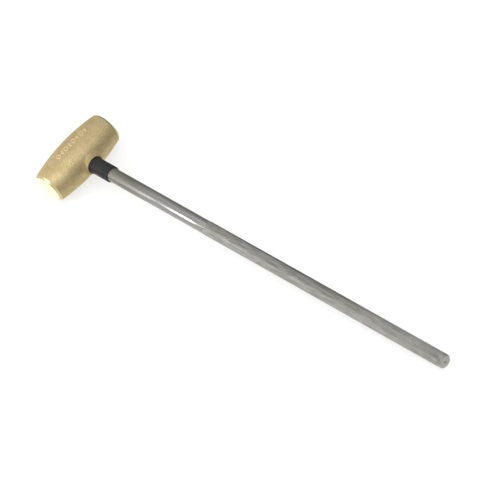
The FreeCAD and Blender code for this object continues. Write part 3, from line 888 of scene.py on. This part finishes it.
def groove_tree():
    """Tree that presses evenly spaced grooves round a turned sleeve, leaving ribs between them."""
    tree, add, size = start_shape_tree("rib_grooves", (
        "First Groove", "Last Groove", "Pitch", "Width", "Depth", "Sleeve Radius"))
    place = add("GeometryNodeInputPosition")
    axes = add(AXES, (place,)).outputs
    along = add_nearest_place(add, axes["X"], size["First Groove"], size["Pitch"])
    away = add(MATH, (along,), "ABSOLUTE")
    half_width = add(MATH, (size["Width"], 0.5), "MULTIPLY")
    hollow = add(MAP_RANGE, (away, 0.1, half_width, 1.0, 0.0), **SOFT)
    half_pitch = add(MATH, (size["Pitch"], 0.5), "MULTIPLY")
    row_start = add(MATH, (size["First Groove"], half_pitch), "SUBTRACT")
    row_end = add(MATH, (size["Last Groove"], half_pitch), "ADD")
    within = add_row_limits(add, axes["X"], row_start, row_end)
    around = add(VECTOR_MATH, (place, (0, 1, 1)), "MULTIPLY")
    radius = add(VECTOR_MATH, (around,), "LENGTH")
    skin_radius = add(MATH, (size["Sleeve Radius"], 0.3), "SUBTRACT")
    outside = add(MATH, (radius, skin_radius), "GREATER_THAN")
    depth = add(MATH, (hollow, within), "MULTIPLY")
    depth = add(MATH, (depth, outside), "MULTIPLY")
    inward = add(MATH, (size["Depth"], -1.0), "MULTIPLY")
    depth = add(MATH, (depth, inward), "MULTIPLY")
    outward = add(VECTOR_MATH, (around,), "NORMALIZE")
    offset = add(VECTOR_MATH, (outward, depth), "SCALE")
    pressed = add("GeometryNodeSetPosition", {"Geometry": size["Shape"], "Offset": offset})
    end_shape_tree(add, pressed, size["Finish"])
    return tree


def make_collar(sizes, finishes):
    """The rubber sleeve: foot flange on the boss, smooth half, grooved half and rounded lip."""
    outline = collar_outline()
    rings = [circle(place, radius, even_angles(SLEEVE_SIDES)) for place, radius in outline]
    piece = new_piece("neck_sleeve", *skin(rings + rings[:1]))
    weld(piece)
    run_shape_tree(piece, groove_tree(), {
        "First Groove": FIRST_GROOVE, "Last Groove": LAST_GROOVE, "Pitch": GROOVE_PITCH,
        "Width": GROOVE_WIDTH, "Depth": sizes.groove_depth / MM, "Sleeve Radius": SLEEVE_RADIUS,
        "Finish": mould_rubber(finishes.rubber)})
    finish_piece(piece, 50, EYE_OFFSET)
    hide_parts("neck_collar")


def finish_pin(_sizes, finishes):
    """The spring pin keeps its CAD shape and gets its real finish."""
    pin = frame["nodes"]["lock_pin"]
    pin.data.materials.clear()
    pin.data.materials.append(oil_spring_steel(finishes.steel))


# ---------------- the stage

CAMERA_AZIMUTH = math.radians(67.036)
CAMERA_ELEVATION = math.radians(44.941)
CAMERA_ROLL = math.radians(30.452)
CAMERA_DISTANCE = 9.79397
CAMERA_LENS = 478.763
AIM_ALONG_BAR = 367.998
AIM_ACROSS = 11.41


def place_camera():
    """A long-lens camera, turned about its own axis so that the hammer lies across the frame's diagonal."""
    data = bpy.data.cameras.new("camera")
    data.lens = CAMERA_LENS
    data.sensor_width = 36.0
    data.clip_start = 0.1
    data.clip_end = 200.0
    camera = bpy.data.objects.new("camera", data)
    back = Vector((math.sin(CAMERA_AZIMUTH) * math.cos(CAMERA_ELEVATION),
                   -math.cos(CAMERA_AZIMUTH) * math.cos(CAMERA_ELEVATION), math.sin(CAMERA_ELEVATION)))
    right = Vector((0, 0, 1)).cross(back).normalized()
    up = back.cross(right)
    rolled_up = up * math.cos(CAMERA_ROLL) + right * math.sin(CAMERA_ROLL)
    rolled_right = rolled_up.cross(back)
    aim = LAID_DOWN @ Vector((AIM_ALONG_BAR, AIM_ACROSS, 0))
    turn = Matrix((rolled_right, rolled_up, back)).transposed().to_4x4()
    camera.matrix_world = Matrix.Translation(aim + back * CAMERA_DISTANCE) @ turn
    bpy.context.scene.collection.objects.link(camera)
    bpy.context.scene.camera = camera


def add_softbox(name, aim, direction, distance, size, brightness):
    """A softbox in a direction from the place it lights, in line with the bar.

    aim is that place in the hammer's axes, and brightness is how bright the box's front is all over.
    """
    data = bpy.data.lights.new(name, "AREA")
    data.shape = "RECTANGLE"
    data.size, data.size_y = size
    data.energy = math.pi * size[0] * size[1] * brightness
    box = bpy.data.objects.new(name, data)
    towards = Vector(direction).normalized()
    up = towards.cross(BAR_AXIS).normalized()
    turn = Matrix((up.cross(towards), up, towards)).transposed().to_4x4()
    box.matrix_world = Matrix.Translation(LAID_DOWN @ Vector(aim) + towards * distance) @ turn
    box.visible_camera = False
    bpy.context.scene.collection.objects.link(box)


def add_card(add, direction, middle, half_angle, soft_angle, strength):
    """Nodes for a soft round card of light in the surroundings."""
    towards = Vector(middle).normalized()
    near = add(VECTOR_MATH, (direction, towards), "DOT_PRODUCT")
    rim, edge = math.radians(half_angle + soft_angle), math.radians(half_angle)
    return add(MAP_RANGE, (near, math.cos(rim), math.cos(edge), 0.0, strength), **SOFT)


# Cards in the surroundings: middle, half angle and soft edge in degrees, and how much light they add
CARDS = (
    ((0.93, 0.28, -0.13), 12, 30, -0.42),
    ((-0.40, 0.90, 0.10), 36, 32, -0.32),
    ((-0.28, 0.62, 0.73), 12, 26, 0.30),
    ((-0.97, 0.05, 0.28), 10, 32, 0.35),
    ((-0.60, -0.68, -0.40), 12, 26, 0.14),
)


def make_surroundings():
    """An even pale studio with soft pale and dark cards for the metal to mirror; all else sees it white."""
    world = bpy.data.worlds.new("studio")
    bpy.context.scene.world = world
    world.use_nodes = True
    world.node_tree.nodes.clear()
    add = partial(add_node, world.node_tree)
    direction = add("ShaderNodeTexCoord").outputs["Generated"]
    axes = add(AXES, (direction,)).outputs
    level = add(MAP_RANGE, (axes["Z"], -0.7, -0.2, 0.75, 0.60), **SOFT)
    for middle, half_angle, soft_angle, strength in CARDS:
        card = add_card(add, direction, middle, half_angle, soft_angle, strength)
        level = add(MATH, (level, card), "ADD")
    path = add("ShaderNodeLightPath")
    plain = add(MATH, (path.outputs["Is Camera Ray"], path.outputs["Is Diffuse Ray"]), "MAXIMUM")
    white = add("ShaderNodeBackground", {"Color": linear("FFFFFF"), "Strength": 1.15})
    studio = add("ShaderNodeBackground", {"Color": linear("FFFFFF"), "Strength": level})
    both = add("ShaderNodeMixShader", (plain, studio, white))
    add("ShaderNodeOutputWorld", {"Surface": both})


def make_floor(tint):
    """A wide white light table, which the metal doesn't mirror, so that the studio shapes its highlights."""
    floor = new_piece("floor", *skin([[(0.0, 0.0, 0.0)], [
        (40 * math.cos(angle), 40 * math.sin(angle), 0.0) for angle in even_angles(FLOOR_SIDES)]]))
    material, add = new_finish("opal_acrylic_light_table")
    shader = add(SHADER, {"Base Color": scaled(tint, (0.35, 0.35, 0.35)), "Roughness": 0.9,
                          "Emission Color": tint, "Emission Strength": 0.72})
    add(OUTPUT, {"Surface": shader})
    floor.data.materials.append(material)
    floor.visible_glossy = False
    floor.visible_shadow = False


def add_flag(start, end, across, height):
    """A black card standing beside the bar, which darkens its edge; only the metal sees it."""
    corners = [(start, across, 0), (end, across, 0), (end, across, height), (start, across, height)]
    flag = new_piece("edge_flag", [LAID_DOWN @ Vector(corner) for corner in corners], [(0, 1, 2, 3)])
    material, add = new_finish("black_card")
    shader = add("ShaderNodeBsdfDiffuse", {"Color": linear("0A0A0A")})
    add(OUTPUT, {"Surface": shader})
    flag.data.materials.append(material)
    flag.visible_camera = False
    flag.visible_diffuse = False
    flag.visible_shadow = False


def make_stage(_sizes, finishes):
    """Floor, surroundings, softboxes, black card and camera."""
    scene = bpy.context.scene
    scene.view_settings.view_transform = "Standard"
    make_floor(finishes.floor)
    make_surroundings()
    add_softbox("neck_softbox", (424, EYE_OFFSET, 0), (-0.615, -0.63, 0.475), 0.8, (0.32, 0.28), 4.4)
    add_softbox("top_softbox", (200, 0, 0), (0.50, -0.15, 0.85), 4.0, (3.0, 3.0), 1.2)
    add_softbox("face_reflector", (0, -HALF_LENGTH, 0), (-0.652, -0.276, -0.707), 0.12, (0.11, 0.11), 0.75)
    add_flag(240, 600, 75, 110)
    place_camera()


# ---------------- add-on

def length_property(name, description, default, low, high):
    """A property for a length, from its sizes in millimetres."""
    return bpy.props.FloatProperty(name=name, description=description, default=default * MM,
                                   min=low * MM, max=high * MM, precision=4, unit="LENGTH")


def colour_property(name, description, code):
    """A property for a colour, from its sRGB hex value."""
    return bpy.props.FloatVectorProperty(name=name, description=description, default=linear(code), min=0.0,
                                         max=1.0, size=4, subtype="COLOR")


class HammerSizes(bpy.types.PropertyGroup):
    """Sizes of the details that the frame leaves plain."""

    mark_rise: length_property("Mark Rise", "Height of the raised cast marks", 0.7, 0.0, 0.7)
    skin_relief: length_property("Skin Relief", "Depth of the cast skin's unevenness", 0.12, 0.0, 0.5)
    knurl_width: length_property("Knurl Width", "Width of one diamond round the bar", 1.88, 1.0, 4.0)
    knurl_depth: length_property("Knurl Depth", "Depth of the grooves between the diamonds", 0.34, 0.1, 1.0)
    groove_depth: length_property("Groove Depth", "Depth of the grooves round the sleeve", 0.6, 0.0, 1.2)


class HammerFinishes(bpy.types.PropertyGroup):
    """Colours of the bare metals, the rubber and the floor."""

    brass: colour_property("Brass", "Colour of the cast brass", "E9D5A7")
    aluminium: colour_property("Aluminium", "Colour of the bar", "BBBAB6")
    rubber: colour_property("Rubber", "Colour of the sleeve", "18191B")
    steel: colour_property("Spring Steel", "Colour of the pin", "8A8580")
    floor: colour_property("Floor", "Colour of the floor", "F6F6F5")


class HammerStep:
    """One step of the making, done with the scene's sizes and finishes"""

    def execute(self, context):
        self.make(context.scene.hammer_sizes, context.scene.hammer_finishes)
        return {"FINISHED"}


class HAMMER_OT_cast_head(HammerStep, bpy.types.Operator):
    """Cast the brass head, drill it and turn its faces"""

    bl_idname = "hammer.cast_head"
    bl_label = "Cast Head"
    make = staticmethod(make_head)


class HAMMER_OT_knurl_bar(HammerStep, bpy.types.Operator):
    """Knurl and turn the aluminium bar"""

    bl_idname = "hammer.knurl_bar"
    bl_label = "Knurl Bar"
    make = staticmethod(make_bar)


class HAMMER_OT_mould_sleeve(HammerStep, bpy.types.Operator):
    """Mould the rubber sleeve at the bar's neck"""

    bl_idname = "hammer.mould_sleeve"
    bl_label = "Mould Sleeve"
    make = staticmethod(make_collar)


class HAMMER_OT_oil_pin(HammerStep, bpy.types.Operator):
    """Finish the spring pin that locks the head to the bar"""

    bl_idname = "hammer.oil_pin"
    bl_label = "Oil Pin"
    make = staticmethod(finish_pin)


class HAMMER_OT_set_stage(HammerStep, bpy.types.Operator):
    """Lay the floor, light the studio and place the camera"""

    bl_idname = "hammer.set_stage"
    bl_label = "Set Stage"
    make = staticmethod(make_stage)


OPERATORS = (HAMMER_OT_cast_head, HAMMER_OT_knurl_bar, HAMMER_OT_mould_sleeve, HAMMER_OT_oil_pin,
             HAMMER_OT_set_stage)


class HAMMER_PT_sidebar(bpy.types.Panel):
    """Lists the hammer's sizes, its finishes and the steps that make it"""

    bl_idname = "HAMMER_PT_sidebar"
    bl_label = "Hammer"
    bl_space_type = "VIEW_3D"
    bl_region_type = "UI"
    bl_category = "Hammer"

    def draw(self, context):
        for group in (context.scene.hammer_sizes, context.scene.hammer_finishes):
            column = self.layout.column(align=True)
            for name in group.__annotations__:
                column.prop(group, name)
        for step in OPERATORS:
            self.layout.operator(step.bl_idname)


CLASSES = (HammerSizes, HammerFinishes, *OPERATORS, HAMMER_PT_sidebar)


def register():
    """Register the classes, and put the sizes and finishes on the scene."""
    for item in CLASSES:
        bpy.utils.register_class(item)
    bpy.types.Scene.hammer_sizes = bpy.props.PointerProperty(type=HammerSizes)
    bpy.types.Scene.hammer_finishes = bpy.props.PointerProperty(type=HammerFinishes)


def unregister():
    """Take everything that register added away again."""
    del bpy.types.Scene.hammer_sizes
    del bpy.types.Scene.hammer_finishes
    for item in reversed(CLASSES):
        bpy.utils.unregister_class(item)


def main():
    """Make the hammer piece by piece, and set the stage."""
    register()
    bpy.ops.hammer.cast_head()
    bpy.ops.hammer.knurl_bar()
    bpy.ops.hammer.mould_sleeve()
    bpy.ops.hammer.oil_pin()
    bpy.ops.hammer.set_stage()


if __name__ == "__main__":
    main()
